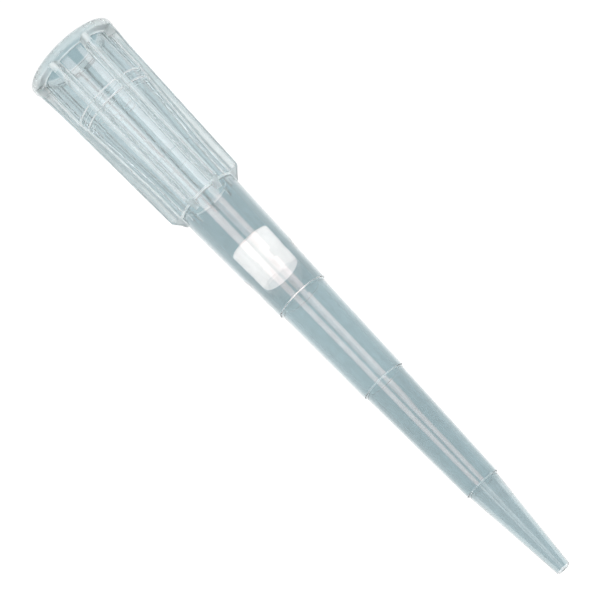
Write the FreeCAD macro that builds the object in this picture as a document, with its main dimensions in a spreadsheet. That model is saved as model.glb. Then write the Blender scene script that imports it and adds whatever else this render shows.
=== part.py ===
import FreeCAD, Part
import os
import Sketcher
import PartDesign
import Spreadsheet

# Filtered 100 microlitre pipette tip, built as two bodies:
#   tip_body     one moulding: ribbed collar, barrel, three graduation steps, nose
#   filter_plug  porous white plug pressed into the upper barrel
# Frame: millimetres, +Z along the tip axis from the collar mouth (Z = 0) to the
# orifice (Z = overall length).  The tip stands on the collar rim.

doc = FreeCAD.newDocument("pipette_tip")

# ---------------------------------------------------------------- dimensions
sheet = doc.addObject("Spreadsheet::Sheet", "Dims")
DIMS = [
    # collar lip ring
    ("lip_radius", 3.648), ("lip_height", 0.62), ("lip_round", 0.26),
    ("rim_inner_radius", 2.90),
    # tube that carries the ribs (outer surface)
    ("tube_top_radius", 2.945),
    # four fine steps in the tube at the sealing rings
    ("line_a_height", 4.445), ("line_a_radius", 2.934), ("line_a_step", 2.890),
    ("line_b_height", 4.808), ("line_b_radius", 2.886), ("line_b_step", 2.867),
    ("line_c_height", 5.205), ("line_c_radius", 2.862), ("line_c_step", 2.816),
    ("line_d_height", 5.628), ("line_d_radius", 2.808), ("line_d_step", 2.791),
    ("tube_c_height", 7.28), ("tube_c_radius", 2.670),
    ("tube_d_height", 10.84), ("tube_d_radius", 2.478), ("tube_d_step", 2.450),
    ("tube_e_height", 12.60), ("tube_e_radius", 2.380),
    ("ring_zero_height", 14.37), ("ring_zero_radius", 2.372), ("ring_zero_step", 2.345),
    ("barrel_top_height", 15.30), ("barrel_top_radius", 2.338),
    # ribs
    ("rib_count", 7), ("rib_thickness", 0.48), ("rib_edge_round", 0.12),
    ("rib_base_height", 0.30), ("rib_lip_radius", 3.640),
    ("rib_shoulder_height", 1.30), ("rib_shoulder_radius", 3.622),
    ("rib_upper_height", 2.60), ("rib_upper_radius", 3.535),
    ("rib_lower_height", 14.28), ("rib_lower_radius", 3.163),
    ("rib_end_height", 15.19), ("rib_end_radius", 2.300), ("rib_root_radius", 2.150),
    # barrel and graduation steps (outer surface)
    ("barrel_mid_height", 20.60), ("barrel_mid_radius", 2.185),
    ("barrel_neck_height", 21.29), ("barrel_neck_radius", 2.112),
    ("ring_one_height", 23.80), ("ring_one_radius", 2.052),
    ("ring_one_line", 24.165), ("ring_one_brink", 2.042), ("ring_one_step", 1.952),
    ("ring_one_end_height", 24.64), ("ring_one_end_radius", 1.903),
    ("ring_two_height", 32.08), ("ring_two_radius", 1.740),
    ("ring_two_line", 32.365), ("ring_two_brink", 1.733), ("ring_two_step", 1.664),
    ("ring_two_end_height", 32.80), ("ring_two_end_radius", 1.630),
    ("ring_three_height", 41.80), ("ring_three_radius", 1.362),
    ("ring_three_line", 42.095), ("ring_three_brink", 1.353), ("ring_three_step", 1.268),
    ("ring_three_end_height", 42.48), ("ring_three_end_radius", 1.225),
    ("nose_top_height", 43.10), ("nose_top_radius", 1.168),
    ("nose_mid_height", 44.30), ("nose_mid_radius", 1.050),
    ("overall_length", 50.0), ("orifice_outer_radius", 0.535),
    # bore
    ("mouth_height", 0.70), ("mouth_radius", 2.520),
    ("seal_top_height", 4.395), ("seal_top_radius", 2.500), ("seal_ledge_radius", 2.440),
    ("seal_height", 5.185), ("seal_brink_radius", 2.428),
    ("seal_radius", 2.360), ("seal_end_height", 6.45),
    ("bore_a_height", 10.80), ("bore_a_radius", 2.030),
    ("bore_b_height", 14.45), ("bore_b_radius", 1.885), ("bore_b_ledge", 1.715),
    ("plug_seat_height", 18.72), ("plug_seat_radius", 1.635),
    ("bore_d_height", 23.20), ("bore_d_radius", 1.536),
    ("bore_e_height", 24.17), ("bore_e_radius", 1.498),
    ("bore_f_height", 32.37), ("bore_f_radius", 1.270),
    ("bore_g_height", 42.11), ("bore_g_radius", 0.900),
    ("bore_h_height", 44.00), ("bore_h_radius", 0.800),
    ("orifice_radius", 0.266),
    # filter plug
    ("plug_top_height", 18.77), ("plug_top_radius", 1.622),
    ("plug_end_height", 22.25), ("plug_end_radius", 1.545), ("plug_round", 0.18),
]
for row, (alias, value) in enumerate(DIMS, start=1):
    sheet.set("A%d" % row, alias)
    sheet.set("B%d" % row, str(value))
    sheet.setAlias("B%d" % row, alias)
doc.recompute()
VAL = dict(DIMS)


def plane_of(body, role):
    for feat in body.Origin.OriginFeatures:
        if getattr(feat, "Role", "") == role:
            return feat
    raise RuntimeError("no origin plane " + role)


def profile(body, name, corners):
    """Closed outline in the XZ plane.  Each corner is (radius, height); a word
    is a spreadsheet dimension, a number is held as it is."""
    sk = body.newObject("Sketcher::SketchObject", name)
    sk.AttachmentSupport = [(plane_of(body, "XZ_Plane"), "")]
    sk.MapMode = "FlatFace"
    num = [(VAL.get(a, a), VAL.get(b, b)) for a, b in corners]
    count = len(num)
    for i in range(count):
        p, q = num[i], num[(i + 1) % count]
        sk.addGeometry(Part.LineSegment(FreeCAD.Vector(p[0], p[1], 0),
                                        FreeCAD.Vector(q[0], q[1], 0)), False)
    for i in range(count):
        sk.addConstraint(Sketcher.Constraint("Coincident", i, 2, (i + 1) % count, 1))
    for i, (a, b) in enumerate(corners):
        for kind, word, value, tag in (("DistanceX", a, num[i][0], "x"),
                                       ("DistanceY", b, num[i][1], "z")):
            if not isinstance(word, str) and abs(value) < 1e-9:
                # on the axis or on the rim plane
                other = "PointOnObject"
                axis = -2 if kind == "DistanceX" else -1
                sk.addConstraint(Sketcher.Constraint(other, i, 1, axis))
                continue
            idx = sk.addConstraint(Sketcher.Constraint(kind, -1, 1, i, 1, value))
            if isinstance(word, str):
                sk.renameConstraint(idx, "%s_%d" % (tag, i))
                sk.setExpression("Constraints.%s_%d" % (tag, i), "Dims." + word)
    return sk


# ------------------------------------------------------------------ tip body
body = doc.addObject("PartDesign::Body", "TipBody")
body.Label = "tip_body"
body.Placement = FreeCAD.Placement(FreeCAD.Vector(0, 0, 0), FreeCAD.Rotation())

outer = profile(body, "outer_profile", [
    (0.0, 0.0),
    ("lip_radius", 0.0),
    ("lip_radius", "lip_height"),
    ("tube_top_radius", "lip_height"),
    ("line_a_radius", "line_a_height"),
    ("line_a_step", "line_a_height"),
    ("line_b_radius", "line_b_height"),
    ("line_b_step", "line_b_height"),
    ("line_c_radius", "line_c_height"),
    ("line_c_step", "line_c_height"),
    ("line_d_radius", "line_d_height"),
    ("line_d_step", "line_d_height"),
    ("tube_c_radius", "tube_c_height"),
    ("tube_d_radius", "tube_d_height"),
    ("tube_d_step", "tube_d_height"),
    ("tube_e_radius", "tube_e_height"),
    ("ring_zero_radius", "ring_zero_height"),
    ("ring_zero_step", "ring_zero_height"),
    ("barrel_top_radius", "barrel_top_height"),
    ("barrel_mid_radius", "barrel_mid_height"),
    ("barrel_neck_radius", "barrel_neck_height"),
    ("ring_one_radius", "ring_one_height"),
    ("ring_one_brink", "ring_one_line"),
    ("ring_one_step", "ring_one_line"),
    ("ring_one_end_radius", "ring_one_end_height"),
    ("ring_two_radius", "ring_two_height"),
    ("ring_two_brink", "ring_two_line"),
    ("ring_two_step", "ring_two_line"),
    ("ring_two_end_radius", "ring_two_end_height"),
    ("ring_three_radius", "ring_three_height"),
    ("ring_three_brink", "ring_three_line"),
    ("ring_three_step", "ring_three_line"),
    ("ring_three_end_radius", "ring_three_end_height"),
    ("nose_top_radius", "nose_top_height"),
    ("nose_mid_radius", "nose_mid_height"),
    ("orifice_outer_radius", "overall_length"),
    (0.0, "overall_length"),
])
turned = body.newObject("PartDesign::Revolution", "turned_outside")
turned.Profile = outer
turned.ReferenceAxis = (outer, ["V_Axis"])
turned.Angle = 360.0
outer.Visibility = False
doc.recompute()

# round both outer corners of the lip ring
lip_edges = []
for n, edge in enumerate(turned.Shape.Edges, start=1):
    c = edge.Curve
    if isinstance(c, Part.Circle) and abs(c.Radius - VAL["lip_radius"]) < 1e-6:
        lip_edges.append("Edge%d" % n)
rounded = body.newObject("PartDesign::Fillet", "rounded_lip")
rounded.Base = (turned, lip_edges)
rounded.Radius = VAL["lip_round"]
rounded.setExpression("Radius", "Dims.lip_round")
doc.recompute()

# one longitudinal rib, flush with the lip ring, its foot buried in the tube wall
# and its far end chamfered
rib_outline = profile(body, "rib_outline", [
    ("rib_root_radius", "rib_base_height"),
    ("rib_lip_radius", "rib_base_height"),
    ("rib_shoulder_radius", "rib_shoulder_height"),
    ("rib_upper_radius", "rib_upper_height"),
    ("rib_lower_radius", "rib_lower_height"),
    ("rib_end_radius", "rib_end_height"),
    ("rib_root_radius", "rib_end_height"),
])
rib = body.newObject("PartDesign::Pad", "rib")
rib.Profile = rib_outline
rib.Midplane = True
rib.Length = VAL["rib_thickness"]
rib.setExpression("Length", "Dims.rib_thickness")
rib_outline.Visibility = False
doc.recompute()

ribs = body.newObject("PartDesign::PolarPattern", "rib_ring")
ribs.Originals = [rib]
ribs.Axis = (outer, ["V_Axis"])
ribs.Angle = 360.0
ribs.Occurrences = int(VAL["rib_count"])
ribs.setExpression("Occurrences", "Dims.rib_count")
body.Tip = ribs
doc.recompute()

# round the long outer edges of every rib
rib_edges = []
for n, edge in enumerate(ribs.Shape.Edges, start=1):
    if not isinstance(edge.Curve, Part.Line) or edge.Length < 0.4:
        continue
    ends = edge.Vertexes
    if abs(ends[1].Z - ends[0].Z) < 0.9 * edge.Length:
        continue
    mid = edge.CenterOfMass
    reach = (mid.x ** 2 + mid.y ** 2) ** 0.5
    if reach > VAL["tube_top_radius"] + 0.1:
        rib_edges.append("Edge%d" % n)
if len(rib_edges) != 6 * int(VAL["rib_count"]):
    raise RuntimeError("expected six long edges on each rib, found %d" % len(rib_edges))
rib_round = body.newObject("PartDesign::Fillet", "rib_edge_rounds")
rib_round.Base = (ribs, rib_edges)
rib_round.Radius = VAL["rib_edge_round"]
rib_round.setExpression("Radius", "Dims.rib_edge_round")
body.Tip = rib_round
doc.recompute()

# through bore: flared mouth, seal land for the pipette cone, plug seat, taper
bore_outline = profile(body, "bore_profile", [
    (0.0, 0.0),
    ("rim_inner_radius", 0.0),
    ("mouth_radius", "mouth_height"),
    ("seal_top_radius", "seal_top_height"),
    ("seal_ledge_radius", "seal_top_height"),
    ("seal_brink_radius", "seal_height"),
    ("seal_radius", "seal_height"),
    ("seal_radius", "seal_end_height"),
    ("bore_a_radius", "bore_a_height"),
    ("bore_b_radius", "bore_b_height"),
    ("bore_b_ledge", "bore_b_height"),
    ("plug_seat_radius", "plug_seat_height"),
    ("bore_d_radius", "bore_d_height"),
    ("bore_e_radius", "bore_e_height"),
    ("bore_f_radius", "bore_f_height"),
    ("bore_g_radius", "bore_g_height"),
    ("bore_h_radius", "bore_h_height"),
    ("orifice_radius", "overall_length"),
    (0.0, "overall_length"),
])
before = body.Shape.Volume
bore = body.newObject("PartDesign::Groove", "bore")
bore.Profile = bore_outline
bore.ReferenceAxis = (bore_outline, ["V_Axis"])
bore.Angle = 360.0
bore_outline.Visibility = False
body.Tip = bore
doc.recompute()
after = body.Shape.Volume
if not after < 0.8 * before:
    raise RuntimeError("bore did not cut: %.2f -> %.2f" % (before, after))

# --------------------------------------------------------------- filter plug
plug = doc.addObject("PartDesign::Body", "FilterPlug")
plug.Label = "filter_plug"
plug.Placement = FreeCAD.Placement(FreeCAD.Vector(0, 0, 0), FreeCAD.Rotation())
plug_outline = profile(plug, "plug_profile", [
    (0.0, "plug_top_height"),
    ("plug_top_radius", "plug_top_height"),
    ("plug_end_radius", "plug_end_height"),
    (0.0, "plug_end_height"),
])
plug_turned = plug.newObject("PartDesign::Revolution", "plug_turned")
plug_turned.Profile = plug_outline
plug_turned.ReferenceAxis = (plug_outline, ["V_Axis"])
plug_turned.Angle = 360.0
plug_outline.Visibility = False
doc.recompute()
plug_edges = ["Edge%d" % n for n, e in enumerate(plug_turned.Shape.Edges, start=1)
              if isinstance(e.Curve, Part.Circle)]
plug_round = plug.newObject("PartDesign::Fillet", "plug_rounds")
plug_round.Base = (plug_turned, plug_edges)
plug_round.Radius = VAL["plug_round"]
plug_round.setExpression("Radius", "Dims.plug_round")
plug.Tip = plug_round
doc.recompute()

# ------------------------------------------------------------ checks, export
for obj in doc.Objects:
    if "Invalid" in obj.State or "Error" in obj.State:
        raise RuntimeError("%s is in state %s" % (obj.Label, obj.State))
for node in (body, plug):
    shape = node.Shape
    if shape.isNull() or not shape.isValid() or len(shape.Solids) != 1:
        raise RuntimeError("bad solid in " + node.Label)

os.makedirs("parts", exist_ok=True)
for node in (body, plug):
    node.Shape.exportStep("parts/%s.step" % node.Label)
    box = node.Shape.BoundBox
    print(node.Label, "volume %.3f mm3" % node.Shape.Volume,
          "box", round(box.XMin, 4), round(box.XMax, 4), round(box.YMin, 4),
          round(box.YMax, 4), round(box.ZMin, 4), round(box.ZMax, 4))
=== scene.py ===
# Looks for the filtered pipette tip: a clear ribbed tip body and a white porous
# plug, on a plain pale light table.
import math
import bpy
import numpy as np
from mathutils import Matrix, Vector
from mathutils import noise as mnoise


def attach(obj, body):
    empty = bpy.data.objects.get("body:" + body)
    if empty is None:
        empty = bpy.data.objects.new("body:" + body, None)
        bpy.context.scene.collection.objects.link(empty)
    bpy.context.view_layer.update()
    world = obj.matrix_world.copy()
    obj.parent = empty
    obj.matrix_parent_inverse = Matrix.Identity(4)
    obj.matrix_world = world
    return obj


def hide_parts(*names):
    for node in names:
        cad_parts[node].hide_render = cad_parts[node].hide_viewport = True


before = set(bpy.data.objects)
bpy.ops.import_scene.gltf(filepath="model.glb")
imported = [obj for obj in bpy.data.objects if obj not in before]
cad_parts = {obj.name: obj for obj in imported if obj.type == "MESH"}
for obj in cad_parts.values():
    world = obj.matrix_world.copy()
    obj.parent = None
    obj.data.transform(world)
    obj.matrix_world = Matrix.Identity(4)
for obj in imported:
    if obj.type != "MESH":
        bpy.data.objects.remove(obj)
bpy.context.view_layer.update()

MM = 0.001
RIBS = 7
RIB_TOP, RIB_END = 0.29, 0.19   # half the rib thickness at the lip and at its lower end, mm
PLUG_TOP, PLUG_END = 18.78, 22.24
CAM_AZ = math.radians(-74.56)   # azimuth of the camera seen from the tip's axis

# ------------------------------------------------------------------ geometry
def rounded(pts, step=12.0):
    """Closed outline of (r, z, fillet) -> (r, z, nr, nz) with true corner arcs."""
    out = []
    n = len(pts)
    P = [np.array(p[:2], float) for p in pts]
    for i, p in enumerate(pts):
        f = p[2]
        a = P[i] - P[i - 1]
        b = P[(i + 1) % n] - P[i]
        la, lb = np.linalg.norm(a), np.linalg.norm(b)
        ta, tb = a / la, b / lb
        ang = math.atan2(ta[0] * tb[1] - ta[1] * tb[0], float(np.clip(ta @ tb, -1, 1)))
        na = np.array([ta[1], -ta[0]])
        nb = np.array([tb[1], -tb[0]])
        if f <= 0 or abs(ang) < 1e-4:
            nn = na + nb
            nn /= np.linalg.norm(nn)
            out.append((P[i][0], P[i][1], nn[0], nn[1]))
            continue
        t = min(f * math.tan(abs(ang) / 2), 0.48 * la, 0.48 * lb)
        rr = t / math.tan(abs(ang) / 2)
        sgn = 1 if ang > 0 else -1
        start = P[i] - ta * t
        cen = start + sgn * np.array([-ta[1], ta[0]]) * rr
        k = max(2, int(math.ceil(abs(math.degrees(ang)) / step)))
        for j in range(k + 1):
            th = ang * j / k
            c, s = math.cos(th), math.sin(th)
            v = start - cen
            q = cen + np.array([c * v[0] - s * v[1], s * v[0] + c * v[1]])
            nn = np.array([c * na[0] - s * na[1], s * na[0] + c * na[1]])
            out.append((q[0], q[1], nn[0], nn[1]))
    return out


def subdivide(prof, longest):
    """Adds points on long straight runs so that quads stay well shaped."""
    out = []
    n = len(prof)
    for i in range(n):
        a, b = prof[i], prof[(i + 1) % n]
        out.append(a)
        d = math.hypot(b[0] - a[0], b[1] - a[1])
        k = int(d // longest)
        for j in range(1, k + 1):
            t = j / (k + 1)
            v = [a[q] + (b[q] - a[q]) * t for q in range(4)]
            m = math.hypot(v[2], v[3])
            out.append((v[0], v[1], v[2] / m, v[3] / m))
    return out


OUTER = [
    (3.300, 0.000, 0.10), (3.648, 0.000, 0.26), (3.648, 0.600, 0.24), (2.945, 0.640, 0.12),
    (2.942, 0.950, 0), (2.942, 1.300, 0), (2.940, 1.920, 0), (2.938, 2.600, 0), (2.935, 4.400, 0), (2.934, 4.430, 0.02), (2.890, 4.460, 0.02), (2.889, 4.500, 0), (2.886, 4.800, 0.01), (2.868, 4.815, 0.01),
    (2.863, 5.160, 0), (2.862, 5.190, 0.02), (2.816, 5.220, 0.02), (2.815, 5.260, 0), (2.808, 5.620, 0.01), (2.792, 5.635, 0.01), (2.670, 7.280, 0.60), (2.478, 10.800, 0.03), (2.448, 10.830, 0.03),
    (2.385, 12.600, 0.60), (2.379, 13.900, 0), (2.3785, 14.080, 0), (2.378, 14.160, 0), (2.3775, 14.240, 0),
    (2.377, 14.330, 0.02), (2.340, 14.360, 0.02), (2.339, 14.500, 0), (2.338, 14.700, 0), (2.337, 14.850, 0),
    (2.336, 14.980, 0), (2.335, 15.080, 0), (2.334, 15.160, 0), (2.333, 15.300, 0.40), (2.185, 20.600, 0.60), (2.112, 21.290, 0.60),
    (2.052, 23.800, 0.40), (2.042, 24.150, 0.03), (1.952, 24.180, 0.03), (1.903, 24.640, 0.40),
    (1.740, 32.080, 0.30), (1.733, 32.350, 0.03), (1.664, 32.380, 0.03), (1.630, 32.800, 0.40),
    (1.362, 41.800, 0.30), (1.353, 42.080, 0.03), (1.268, 42.110, 0.03), (1.225, 42.480, 0.30),
    (1.168, 43.100, 0.60), (1.050, 44.300, 0.60), (0.545, 49.900, 0.05), (0.430, 50.000, 0.05),
]
BORE = [
    (0.266, 50.000, 0.04), (0.800, 44.000, 0.60), (0.900, 42.110, 0.30), (1.270, 32.370, 0.40),
    (1.498, 24.170, 0.30), (1.536, 23.200, 0.10), (1.635, 18.720, 0.30), (1.715, 14.470, 0.02),
    (1.885, 14.430, 0.02), (2.030, 10.800, 0.60), (2.360, 6.450, 0.30), (2.360, 5.200, 0.02), (2.428, 5.170, 0.02),
    (2.440, 4.410, 0.02), (2.500, 4.380, 0.02), (2.518, 0.770, 0), (2.520, 0.700, 0.02), (2.560, 0.640, 0), (2.900, 0.000, 0.06),
]
# moulded steps, drawn as rough near-white bands that paint in the highlight each step catches: (from z, to z, 0 outside
# or 2 bore, slot)
EDGES = [(4.400, 4.500, 0, 6), (4.790, 4.830, 0, 4), (5.160, 5.260, 0, 6), (5.615, 5.650, 0, 4), (14.320, 14.470, 0, 4),
         (24.135, 24.205, 0, 4), (32.335, 32.405, 0, 4), (42.070, 42.130, 0, 4), (49.880, 50.010, 0, 6), (0.655, 0.765, 0, 6)]
# outer edge of a rib along the tip, and where it has no height
RIB_EDGE = [(0.0, 0.0), (0.50, 0.0), (0.501, 3.640), (1.30, 3.622), (2.60, 3.535), (14.08, 3.169), (14.16, 3.165),
            (14.24, 3.150), (14.345, 3.085), (15.16, 2.330), (50.0, 0.0)]


def rib_reach(z):
    return float(np.interp(z, [e[0] for e in RIB_EDGE], [e[1] for e in RIB_EDGE]))


def lattice(r, reach, half, arc_n=9):
    """One rib period of the section at one height, as (angle, radius, pure) over
    half a pitch: tube arc, root fillet, rib side, rounded edge, edge centre."""
    h = max(0.0, reach - r)
    f = min(0.20, 0.45 * h)
    e = min(0.16, 0.45 * h, half * 0.8)
    w = half
    pts = []
    plain = h <= 0.02
    a0 = 0.13 if plain else math.asin((w + f) / r)
    pitch = math.pi / RIBS
    for i in range(arc_n):
        a = pitch + (a0 - pitch) * i / (arc_n - 1)
        pts.append((a, r, True))
    if plain:
        for x in (0.86, 0.72, 0.6, 0.48, 0.36, 0.24, 0.12, 0.0):
            pts.append((a0 * x, r, True))
        return pts
    yt = math.sqrt(r * r - (w + f) ** 2)
    for j in (1, 2):                       # concave root
        t = math.radians(45 * j)
        x = w + f - f * math.sin(t)
        y = yt + f - f * math.cos(t)
        pts.append((math.atan2(x, y), math.hypot(x, y), False))
    top = reach - e
    for t in (0.5, 1.0):                   # flat side
        y = yt + f + (top - yt - f) * t
        x = w - 0.02 * t
        pts.append((math.atan2(x, y), math.hypot(x, y), False))
    wt = w - 0.02
    for j in (1, 2, 3):                    # rounded edge
        t = math.radians(30 * j)
        x = wt - e + e * math.cos(t)
        y = top + e * math.sin(t)
        pts.append((math.atan2(x, y), math.hypot(x, y), False))
    pts.append((0.0, reach, False))
    return pts


def tip_mesh(name):
    prof = subdivide(rounded(OUTER + BORE), 0.9)
    n = len(prof)
    rings = []
    for r, z, nr, nz in prof:
        outside = nr > -0.2 and r > 2.2 and 0.55 < z < 15.2
        # the bore's normals point inward, so it never carries a rib
        reach = rib_reach(z) if outside and not (nr < 0 or (nz < -0.5 and r < 3.3)) else 0.0
        half = lattice(r, reach, RIB_TOP + (RIB_END - RIB_TOP) * min(1.0, max(0.0, z / 14.5)))
        one = half + [(-a, rad, pure) for a, rad, pure in reversed(half[1:-1])]
        rings.append((one, z, nr, nz))
    m = len(rings[0][0])
    V, N, pure_flags = [], [], []
    for one, z, nr, nz in rings:
        for k in range(RIBS):
            base = 2 * math.pi * k / RIBS
            for a, rad, pure in one:
                th = base - a            # runs counter-clockwise
                c, s = math.cos(th), math.sin(th)
                V.append((rad * c * MM, rad * s * MM, z * MM))
                N.append((nr * c, nr * s, nz))
                pure_flags.append(pure)
    cols = m * RIBS
    F = []
    for i in range(n):
        i2 = (i + 1) % n
        for j in range(cols):
            j2 = (j + 1) % cols
            F.append((i * cols + j, i * cols + j2, i2 * cols + j2, i2 * cols + j))
    me = bpy.data.meshes.new(name)
    me.from_pydata(V, [], F)
    me.update()
    # vertex normals: true ones on turned surfaces, area-weighted ones on the ribs
    co = np.array(V)
    q = np.array(F)
    fn = np.cross(co[q[:, 2]] - co[q[:, 0]], co[q[:, 3]] - co[q[:, 1]])
    acc = np.zeros_like(co)
    for c in range(4):
        np.add.at(acc, q[:, c], fn)
    acc /= np.maximum(np.linalg.norm(acc, axis=1, keepdims=True), 1e-20)
    N = np.array(N)
    pure = np.array(pure_flags)
    flip = np.sign((acc * N).sum(1)[pure].mean())
    acc *= flip
    if flip < 0:
        me.flip_normals()
    N[~pure] = acc[~pure]
    me.polygons.foreach_set("use_smooth", [True] * len(me.polygons))
    me.normals_split_custom_set_from_vertices([Vector(v) for v in N])
    # slots: 0 outside, 1 ribs, 2 bore, 3 bore wall pressed on the plug
    mid = co[q].mean(axis=1) / MM
    rr, zz = np.hypot(mid[:, 0], mid[:, 1]), mid[:, 2]
    o = np.interp(zz, [p[1] for p in OUTER], [p[0] for p in OUTER])
    bb = np.interp(zz, [p[1] for p in BORE[::-1]], [p[0] for p in BORE[::-1]])
    which = np.where(rr < (o + bb) / 2, 2, 0)
    which[(which == 2) & (zz > PLUG_TOP) & (zz < PLUG_END)] = 3
    which[(~pure[q]).sum(axis=1) >= 3] = 1
    tube = which == 0
    which[tube & (zz < 14.36)] = 7
    which[(zz < 0.66) & (which != 2)] = 5
    # rib ends take the pale matt rib-end tint: a matt finish, and painted light that lifts the dark streaks on their
    # chamfers
    which[(which == 1) & (zz > 14.30)] = 8
    # painted light: the rib tops near the lip take the paler lip tint, which lifts the dark dashes at the lip's ends
    which[(which == 1) & (zz < 1.20)] = 5
    which[(zz > 0.58) & (zz < 0.66) & (which == 5) & (rr < 3.60)] = 8    # underside of the lip: painted light, the pale matt rib-end tint lifts its dark corner
    for lo, hi, side, slot in EDGES:      # thin rough lines where the mould steps; their near-white tone is a painted highlight
        which[(zz > lo) & (zz < hi) & (tube if side == 0 else (which == 2))] = slot
    me.polygons.foreach_set("material_index", which.astype("i4"))
    ob = bpy.data.objects.new(name, me)
    bpy.context.scene.collection.objects.link(ob)
    return ob


def granular_plug(name):
    """The pressed plug of sintered beads: a slightly uneven turned block whose
    surface stays inside its plain outline.  Rows run round the axis, and one
    point closes each end."""
    seg = 252
    side = rounded([(1.618, PLUG_TOP, 0.26), (1.541, PLUG_END, 0.26), (0.0, PLUG_END, 0), (0.0, PLUG_TOP, 0)], 9)
    rows = subdivide(side, 0.042)
    axis = max(i for i, q in enumerate(rows) if q[0] <= 0.02)
    rows = [q for q in rows[axis + 1:] + rows[:axis + 1] if q[0] > 0.02]
    V = [(0.0, 0.0, (PLUG_TOP + 0.01) * MM)]
    for r, z, nr, nz in rows:
        worn = abs(nr * nz) * 2.0                # 1 on the rounded edges
        for j in range(seg):
            a = 2 * math.pi * j / seg
            c, sn_ = math.cos(a), math.sin(a)
            at = Vector((r * c, r * sn_, z))
            grain = 0.5 + 0.5 * mnoise.noise(at * 7.0)
            bead = min(1.0, mnoise.voronoi(at * 6.5)[0][0] * 1.5)
            lump = 0.5 + 0.5 * mnoise.noise(at * 1.1 + Vector((3.1, 0.7, 5.2)))
            chip = max(0.0, mnoise.noise(at * 1.9 + Vector((9.4, 2.6, 1.3))))
            d = 0.004 + 0.008 * grain + 0.010 * bead + 0.012 * lump + worn * (0.030 * lump + 0.13 * chip)
            V.append(((r - d * nr) * c * MM, (r - d * nr) * sn_ * MM, (z - d * nz) * MM))
    n = len(rows)
    V.append((0.0, 0.0, (PLUG_END - 0.01) * MM))
    top = len(V) - 1
    F = []
    for j in range(seg):
        j2 = (j + 1) % seg
        F.append((0, 1 + j2, 1 + j))
        F.append((top, 1 + (n - 1) * seg + j, 1 + (n - 1) * seg + j2))
        for i in range(n - 1):
            F.append((1 + i * seg + j, 1 + i * seg + j2, 1 + (i + 1) * seg + j2, 1 + (i + 1) * seg + j))
    me = bpy.data.meshes.new(name)
    me.from_pydata(V, [], F)
    me.polygons.foreach_set("use_smooth", [True] * len(me.polygons))
    me.update()
    ob = bpy.data.objects.new(name, me)
    bpy.context.scene.collection.objects.link(ob)
    return ob


tip = tip_mesh("tip_body_clear")
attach(tip, "root")
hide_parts("tip_body")

# ------------------------------------------------------------------- plug
plug = granular_plug("filter_plug_porous")
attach(plug, "root")
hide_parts("filter_plug")

# --------------------------------------------------------------- materials
def link_math(nt, op, a, b=None, va=None, vb=None):
    k = nt.nodes.new("ShaderNodeMath")
    k.operation = op
    for i, (src, val) in enumerate(((a, va), (b, vb))):
        if src is not None:
            nt.links.new(src, k.inputs[i])
        elif val is not None:
            k.inputs[i].default_value = val
    return k.outputs[0]


def object_mm(nt):
    """Object coordinates in millimetres."""
    tc = nt.nodes.new("ShaderNodeTexCoord")
    mul = nt.nodes.new("ShaderNodeVectorMath")
    mul.operation = "SCALE"
    mul.inputs["Scale"].default_value = 1000.0
    nt.links.new(tc.outputs["Object"], mul.inputs[0])
    return mul.outputs[0]


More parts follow.
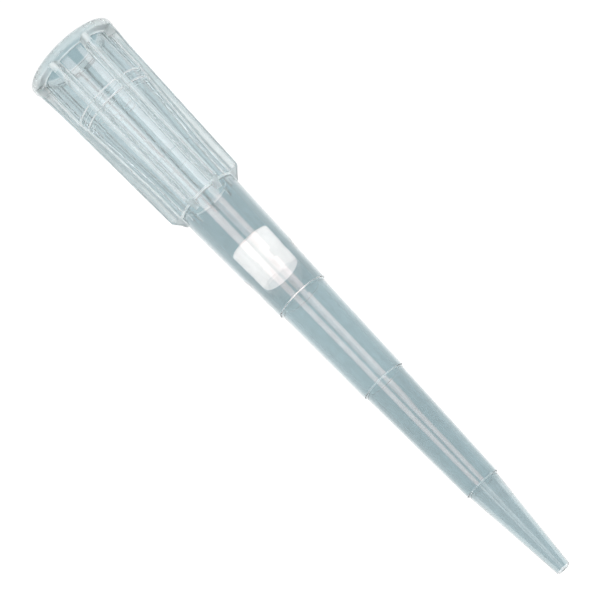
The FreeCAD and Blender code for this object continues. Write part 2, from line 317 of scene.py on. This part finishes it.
def clear_plastic(name, stops, rough=(0.03, 0.07), bump=0.0006, flow=3.0, clear=1.0, cloud=0.09, rim=None, gloss=0.0):
    """Moulded clear plastic.  stops are (z in mm, tint): the wall's tint changes
    along the tip from stop to stop, and thins and thickens by cloud along the long
    marks that the melt left as it flowed.  The same marks change the gloss and
    lift the surface a little.  rim is (start, end, tint) of a painted sheen: the
    tint turns pale where the wall is seen at a glancing angle.  gloss is the hard
    bright skin that a polished mould leaves on the outside."""
    m = bpy.data.materials.new(name)
    m.use_nodes = True
    nt = m.node_tree
    b = nt.nodes["Principled BSDF"]
    b.inputs["Transmission Weight"].default_value = clear
    b.inputs["IOR"].default_value = 1.49
    b.inputs["Coat Weight"].default_value = gloss
    b.inputs["Coat Roughness"].default_value = 0.03
    b.inputs["Coat IOR"].default_value = 1.6
    mm = object_mm(nt)
    # long flow marks: noise stretched along the tip
    mp = nt.nodes.new("ShaderNodeMapping")
    mp.inputs["Scale"].default_value = (1.0, 1.0, 0.06)
    nt.links.new(mm, mp.inputs["Vector"])
    n1 = nt.nodes.new("ShaderNodeTexNoise")
    n1.inputs["Scale"].default_value = flow
    n1.inputs["Detail"].default_value = 3.0
    nt.links.new(mp.outputs[0], n1.inputs["Vector"])
    n2 = nt.nodes.new("ShaderNodeTexNoise")
    n2.inputs["Scale"].default_value = 1.4
    n2.inputs["Detail"].default_value = 2.0
    nt.links.new(mm, n2.inputs["Vector"])
    mix = link_math(nt, "MULTIPLY", link_math(nt, "ADD", n1.outputs["Fac"], n2.outputs["Fac"]), None, None, 0.5)

    sep = nt.nodes.new("ShaderNodeSeparateXYZ")
    nt.links.new(mm, sep.inputs[0])
    r = nt.nodes.new("ShaderNodeValToRGB")
    cr = r.color_ramp
    while len(cr.elements) > 1:
        cr.elements.remove(cr.elements[-1])
    for i, (z, tint) in enumerate(stops):
        e = cr.elements[0] if i == 0 else cr.elements.new(z / 50.0)
        e.position = z / 50.0
        e.color = (*tint, 1)
    nt.links.new(link_math(nt, "MULTIPLY", sep.outputs["Z"], None, None, 1 / 50.0), r.inputs[0])
    shade = nt.nodes.new("ShaderNodeMapRange")
    shade.inputs["From Min"].default_value = 0.35
    shade.inputs["From Max"].default_value = 0.65
    shade.inputs["To Min"].default_value = 1.0 - cloud
    shade.inputs["To Max"].default_value = 1.0 + cloud
    nt.links.new(mix, shade.inputs["Value"])
    grade = nt.nodes.new("ShaderNodeVectorMath")
    grade.operation = "SCALE"
    nt.links.new(r.outputs[0], grade.inputs[0])
    nt.links.new(shade.outputs[0], grade.inputs["Scale"])
    tint_out = grade.outputs[0]
    # painted sheen: the facing value of Layer Weight mixes the tint toward the pale rim tone at glancing angles
    if rim:
        lw = nt.nodes.new("ShaderNodeLayerWeight")
        lw.inputs["Blend"].default_value = 0.5
        g = nt.nodes.new("ShaderNodeMapRange")
        g.inputs["From Min"].default_value = rim[0]
        g.inputs["From Max"].default_value = rim[1]
        nt.links.new(lw.outputs["Facing"], g.inputs["Value"])
        mx = nt.nodes.new("ShaderNodeMix")
        mx.data_type = "RGBA"
        nt.links.new(g.outputs[0], mx.inputs["Factor"])
        nt.links.new(tint_out, mx.inputs[6])
        mx.inputs[7].default_value = (*rim[2], 1)
        tint_out = mx.outputs[2]
    nt.links.new(tint_out, b.inputs["Base Color"])
    mr = nt.nodes.new("ShaderNodeMapRange")
    mr.inputs["From Min"].default_value = 0.35
    mr.inputs["From Max"].default_value = 0.65
    mr.inputs["To Min"].default_value = rough[0]
    mr.inputs["To Max"].default_value = rough[1]
    nt.links.new(mix, mr.inputs["Value"])
    nt.links.new(mr.outputs[0], b.inputs["Roughness"])
    if bump > 0:
        bp = nt.nodes.new("ShaderNodeBump")
        bp.inputs["Strength"].default_value = 1.0
        bp.inputs["Distance"].default_value = bump * MM
        nt.links.new(mix, bp.inputs["Height"])
        nt.links.new(bp.outputs[0], b.inputs["Normal"])
    return m


def porous_white():
    """Sintered polyethylene beads about 0.1 mm across."""
    m = bpy.data.materials.new("porous_filter")
    m.use_nodes = True
    nt = m.node_tree
    b = nt.nodes["Principled BSDF"]
    mm = object_mm(nt)
    vo = nt.nodes.new("ShaderNodeTexVoronoi")
    vo.inputs["Scale"].default_value = 8.0
    vo.inputs["Randomness"].default_value = 1.0
    nt.links.new(mm, vo.inputs["Vector"])
    no = nt.nodes.new("ShaderNodeTexNoise")
    no.inputs["Scale"].default_value = 5.0
    no.inputs["Detail"].default_value = 4.0
    nt.links.new(mm, no.inputs["Vector"])
    # colour: bead tops white, the pores between them painted a little greyer as shade
    r = nt.nodes.new("ShaderNodeValToRGB")
    r.color_ramp.elements[0].position = 0.25
    r.color_ramp.elements[0].color = (0.965, 0.885, 0.87, 1)
    r.color_ramp.elements[1].position = 0.85
    r.color_ramp.elements[1].color = (0.85, 0.785, 0.775, 1)
    nt.links.new(vo.outputs["Distance"], r.inputs[0])
    nt.links.new(r.outputs[0], b.inputs["Base Color"])
    mr = nt.nodes.new("ShaderNodeMapRange")
    mr.inputs["To Min"].default_value = 0.72
    mr.inputs["To Max"].default_value = 0.95
    nt.links.new(no.outputs["Fac"], mr.inputs["Value"])
    nt.links.new(mr.outputs[0], b.inputs["Roughness"])
    inv = link_math(nt, "SUBTRACT", None, vo.outputs["Distance"], 1.0, None)
    hgt = link_math(nt, "ADD", inv, link_math(nt, "MULTIPLY", no.outputs["Fac"], None, None, 0.5))
    bp = nt.nodes.new("ShaderNodeBump")
    bp.inputs["Strength"].default_value = 0.6
    bp.inputs["Distance"].default_value = 0.02 * MM
    nt.links.new(hgt, bp.inputs["Height"])
    nt.links.new(bp.outputs[0], b.inputs["Normal"])
    return m


COLLAR, BARREL, NOSE = (0.405, 0.515, 0.545), (0.244, 0.347, 0.377), (0.400, 0.495, 0.520)
# LIP is paler than COLLAR: the lip's rougher haze, and painted light that lifts the shade at the lip
RIB, LIP = (0.545, 0.638, 0.655), (0.70, 0.765, 0.77)
# EDGE is near white: the rough finish of the step bands, and a painted highlight for the light their fillets catch
EDGE, BORE_TINT, NOSE_BORE = (0.93, 0.96, 0.965), (0.95, 0.97, 0.975), (0.62, 0.70, 0.725)


def even(tint):
    return [(0, tint), (50, tint)]


def times(tint, k):
    return tuple(v * k for v in tint)


# the outside's tint along the tip in mm: darker from 22.5 to 23.9, paler from 24.6 to 31, the nose's own tint from 43
OUTSIDE = [(14, BARREL), (20, BARREL), (22.5, times(BARREL, 0.88)), (23.9, times(BARREL, 0.92)), (24.6, times(BARREL, 1.12)),
           (31, times(BARREL, 1.12)), (33, BARREL), (42, BARREL), (43, NOSE), (50, times(NOSE, 1.06))]
for mat in (
        clear_plastic("clear_outside", OUTSIDE, rim=(0.50, 0.85, (0.95, 0.97, 0.97)), gloss=1.0),
        clear_plastic("clear_ribs", even(RIB), (0.14, 0.20), 0.0, clear=0.82, gloss=1.0),
        clear_plastic("clear_bore", [(0, BORE_TINT), (41.5, BORE_TINT), (43, NOSE_BORE), (50, NOSE_BORE)], cloud=0.02),
        clear_plastic("clear_bore_on_plug", even((0.98, 0.99, 0.99)), cloud=0.01),
        clear_plastic("frosted_edge_painted_highlight", even(EDGE), (0.25, 0.4), 0.0002, clear=0.95),
        clear_plastic("clear_lip", even(LIP), (0.25, 0.35), 0.0, clear=0.70, gloss=1.0),
        clear_plastic("frosted_ring_painted_highlight", even(EDGE), (0.30, 0.45), 0.0002, clear=0.62),
        clear_plastic("clear_collar", even(COLLAR), gloss=1.0),
        clear_plastic("matt_rib_end_painted_light", even((0.80, 0.86, 0.87)), (0.60, 0.75), 0.0, clear=0.95)):
    tip.data.materials.append(mat)
plug.data.materials.append(porous_white())

# ------------------------------------------------------------- light table
# A pale floor lit from inside.  Its brightness is a plain function of place:
# level[0] close to the tip, level[1] farther out, by direction.
W = (1.0, 1.0, 1.0)
P, Q = (1.3, 1.0, 0.95), (1.1, 1.0, 0.98)
NEAR = [(-180, 1.1, W), (-36, 1.1, W), (-34, 2.79, Q), (-6, 2.79, Q), (-4, 1.05, W),
        (18, 1.05, W), (20, 2.79, Q), (43, 2.79, Q), (45, 1.1, W), (180, 1.1, W)]
MID = [(-180, 1.1, W), (-36, 1.1, W), (-33, 2.92, P), (-10, 2.92, P), (-5, 1.05, W), (1, 1.05, W),
       (6, 1.7, P), (18, 1.62, P), (24, 2.92, P), (36, 2.92, P), (42, 1.1, W), (180, 1.1, W)]
FAR = [(-180, 1.1, W), (-33, 1.1, W), (-30, 2.37, P), (-11, 2.37, P), (-6, 1.05, W), (0, 1.05, W),
       (4, 1.62, P), (15, 1.87, P), (22, 2.67, P), (33, 2.79, P), (37, 1.1, W), (180, 1.1, W)]
TOP = [(-180, 1.1, W), (-165, 1.15, W), (-110, 1.15, W), (-100, 1.1, W), (-33, 1.1, W), (-30, 2.29, P), (-11, 2.29, P), (-6, 1.05, W),
       (2, 1.05, W), (8, 2.12, P), (26, 2.29, P), (31, 1.1, W), (90, 1.1, W), (105, 1.2, W), (168, 1.2, W), (176, 1.1, W)]
SPLIT = (0.055, 0.075)
SPLIT2 = (0.100, 0.125)
SPLIT3 = (0.260, 0.300)
PAINTED_SHADOW_UNDER_MOUTH = (0.0026, 0.0030)     # painted shadow: the table under the open mouth glows dark teal, as if shaded by the tip
UNDER = (0.0052, 0.0062)      # nearer than this the table is evenly lit


def ramp(nt, src, stops, top):
    r = nt.nodes.new("ShaderNodeValToRGB")
    cr = r.color_ramp
    cr.interpolation = "LINEAR"
    while len(cr.elements) > 1:
        cr.elements.remove(cr.elements[-1])
    first = True
    for deg, val, tone in stops:
        pos = (deg + 180) / 360
        if first:
            e = cr.elements[0]
            e.position = pos
            first = False
        else:
            e = cr.elements.new(pos)
        v = val / top
        e.color = (v * tone[0], v * tone[1], v * tone[2], 1)
    nt.links.new(src, r.inputs[0])
    return r.outputs[0]


def light_table():
    m = bpy.data.materials.new("light_table")
    m.use_nodes = True
    nt = m.node_tree
    nt.nodes.clear()
    out = nt.nodes.new("ShaderNodeOutputMaterial")
    em = nt.nodes.new("ShaderNodeEmission")
    tc = nt.nodes.new("ShaderNodeTexCoord")
    rot = nt.nodes.new("ShaderNodeVectorRotate")
    rot.rotation_type = "Z_AXIS"
    rot.inputs["Angle"].default_value = -CAM_AZ
    sep = nt.nodes.new("ShaderNodeSeparateXYZ")
    nt.links.new(tc.outputs["Object"], rot.inputs["Vector"])
    nt.links.new(rot.outputs[0], sep.inputs[0])
    neg = link_math(nt, "MULTIPLY", sep.outputs["Y"], None, None, -1.0)
    ang = link_math(nt, "ARCTAN2", neg, sep.outputs["X"])
    pos = link_math(nt, "ADD", link_math(nt, "MULTIPLY", ang, None, None, 1 / (2 * math.pi)), None, None, 0.5)
    length = nt.nodes.new("ShaderNodeVectorMath")
    length.operation = "LENGTH"
    nt.links.new(tc.outputs["Object"], length.inputs[0])
    top = 10.0

    def blend_at(lo, hi, a, b):
        mr = nt.nodes.new("ShaderNodeMapRange")
        mr.inputs["From Min"].default_value = lo
        mr.inputs["From Max"].default_value = hi
        nt.links.new(length.outputs["Value"], mr.inputs["Value"])
        mix = nt.nodes.new("ShaderNodeMix")
        mix.data_type = "RGBA"
        nt.links.new(mr.outputs[0], mix.inputs["Factor"])
        for src, sock in ((a, mix.inputs[6]), (b, mix.inputs[7])):
            if isinstance(src, float):
                sock.default_value = (src, src, src, 1)
            elif isinstance(src, tuple):
                sock.default_value = src
            else:
                nt.links.new(src, sock)
        return mix.outputs[2]
    zones = blend_at(*SPLIT, ramp(nt, pos, NEAR, top), ramp(nt, pos, MID, top))
    zones = blend_at(*SPLIT2, zones, ramp(nt, pos, FAR, top))
    zones = blend_at(*SPLIT3, zones, ramp(nt, pos, TOP, top))
    zones = blend_at(*UNDER, 1.02 / top, zones)
    # painted shadow: dark teal glow under the open mouth
    zones = blend_at(*PAINTED_SHADOW_UNDER_MOUTH, (0.42 / top, 0.56 / top, 0.60 / top, 1), zones)
    nt.links.new(zones, em.inputs["Color"])
    em.inputs["Strength"].default_value = top
    # seen from below, the table isn't there, so the tip's underside shows
    geo = nt.nodes.new("ShaderNodeNewGeometry")
    gone = nt.nodes.new("ShaderNodeBsdfTransparent")
    mix = nt.nodes.new("ShaderNodeMixShader")
    nt.links.new(geo.outputs["Backfacing"], mix.inputs["Fac"])
    nt.links.new(em.outputs[0], mix.inputs[1])
    nt.links.new(gone.outputs[0], mix.inputs[2])
    nt.links.new(mix.outputs[0], out.inputs["Surface"])
    return m


bpy.ops.mesh.primitive_circle_add(vertices=96, radius=3.0, fill_type="NGON", location=(0, 0, -0.00002))
floor = bpy.context.object
floor.name = "light_table_floor"
floor.data.materials.append(light_table())

world = bpy.data.worlds.new("studio")
bpy.context.scene.world = world
world.use_nodes = True
world.node_tree.nodes["Background"].inputs[0].default_value = (1, 1, 1, 1)
world.node_tree.nodes["Background"].inputs[1].default_value = 1.2

# Soft lamps that light only the porous plug, which the real clear wall lets
# far more light reach than a traced thin wall does.
only = bpy.data.collections.new("plug_light_receivers")
only.objects.link(plug)
SUN = 8.9
SIDE, OVER = (1.0, 0.87, 0.835), (1.0, 0.92, 0.91)
for i, (az, el, w, tone) in enumerate([(-55, 12, 1.0, SIDE), (55, 12, 1.0, SIDE), (180, 12, 1.0, SIDE), (0, 75, 0.84, OVER)]):
    sun = bpy.data.lights.new("plug_sun_%d" % i, "SUN")
    sun.energy = SUN * w
    sun.angle = math.radians(70)
    sun.color = tone
    so = bpy.data.objects.new("plug_sun_%d" % i, sun)
    bpy.context.scene.collection.objects.link(so)
    a = CAM_AZ - math.radians(az)
    e = math.radians(el)
    toward = Vector((math.cos(e) * math.cos(a), math.cos(e) * math.sin(a), math.sin(e)))
    so.rotation_euler = toward.to_track_quat("Z", "Y").to_euler()
    so.location = toward * 0.3
    so.light_linking.receiver_collection = only
    so.light_linking.blocker_collection = only

# Two upright strip lamps low on the camera's side.  The steep nose mirrors them
# as its thin pale streaks.
STRIP = 0.9
for i, (az, wide) in enumerate([(-17, 10), (6, 22)]):
    d, high = 0.6, 0.16
    box = bpy.data.lights.new("strip_lamp_%d" % i, "AREA")
    box.shape = "RECTANGLE"
    box.size = 2 * d * math.tan(math.radians(wide / 2))
    box.size_y = high
    box.energy = STRIP * math.pi * box.size * high
    bo = bpy.data.objects.new("strip_lamp_%d" % i, box)
    bpy.context.scene.collection.objects.link(bo)
    a = CAM_AZ - math.radians(az)
    toward = Vector((math.cos(a), math.sin(a), 0.0))
    bo.rotation_euler = toward.to_track_quat("Z", "Y").to_euler()
    bo.location = toward * d + Vector((0, 0, 0.046 + high / 2 - 0.01))

# ------------------------------------------------------------------ camera
k = 0.068397 * MM            # metres a pixel at the tip's axis
DIST = 3100.0                # camera distance in pixels
tilt = math.radians(13.0)
spin = CAM_AZ + math.pi / 2
cs, sn = math.cos(spin), math.sin(spin)


def spun(x, y, z):
    return Vector((cs * x - sn * y, sn * x + cs * y, z))


fwd = spun(0, math.cos(tilt), -math.sin(tilt))
up0 = spun(0, math.sin(tilt), math.cos(tilt))
xh = spun(1, 0, 0)
dx, dy = 0.69253, 0.72139
right = -dy * xh + dx * up0
up = -dx * xh - dy * up0
aim = Vector((0, 0, 25.52 * MM))
place = aim - fwd * DIST * k - right * 16 * k + up * 10.75 * k
cam = bpy.data.cameras.new("camera")
cam.sensor_width = 36
cam.lens = 36 * DIST / 600
cam.clip_start = 0.01
cam.clip_end = 20
cam_ob = bpy.data.objects.new("camera", cam)
bpy.context.scene.collection.objects.link(cam_ob)
bpy.context.scene.camera = cam_ob
cam_ob.matrix_world = Matrix(((right.x, up.x, -fwd.x, place.x), (right.y, up.y, -fwd.y, place.y),
                              (right.z, up.z, -fwd.z, place.z), (0, 0, 0, 1)))

scene = bpy.context.scene
scene.view_settings.view_transform = "Standard"
scene.cycles.max_bounces = 32
scene.cycles.glossy_bounces = 24
scene.cycles.transmission_bounces = 24
scene.cycles.transparent_max_bounces = 16
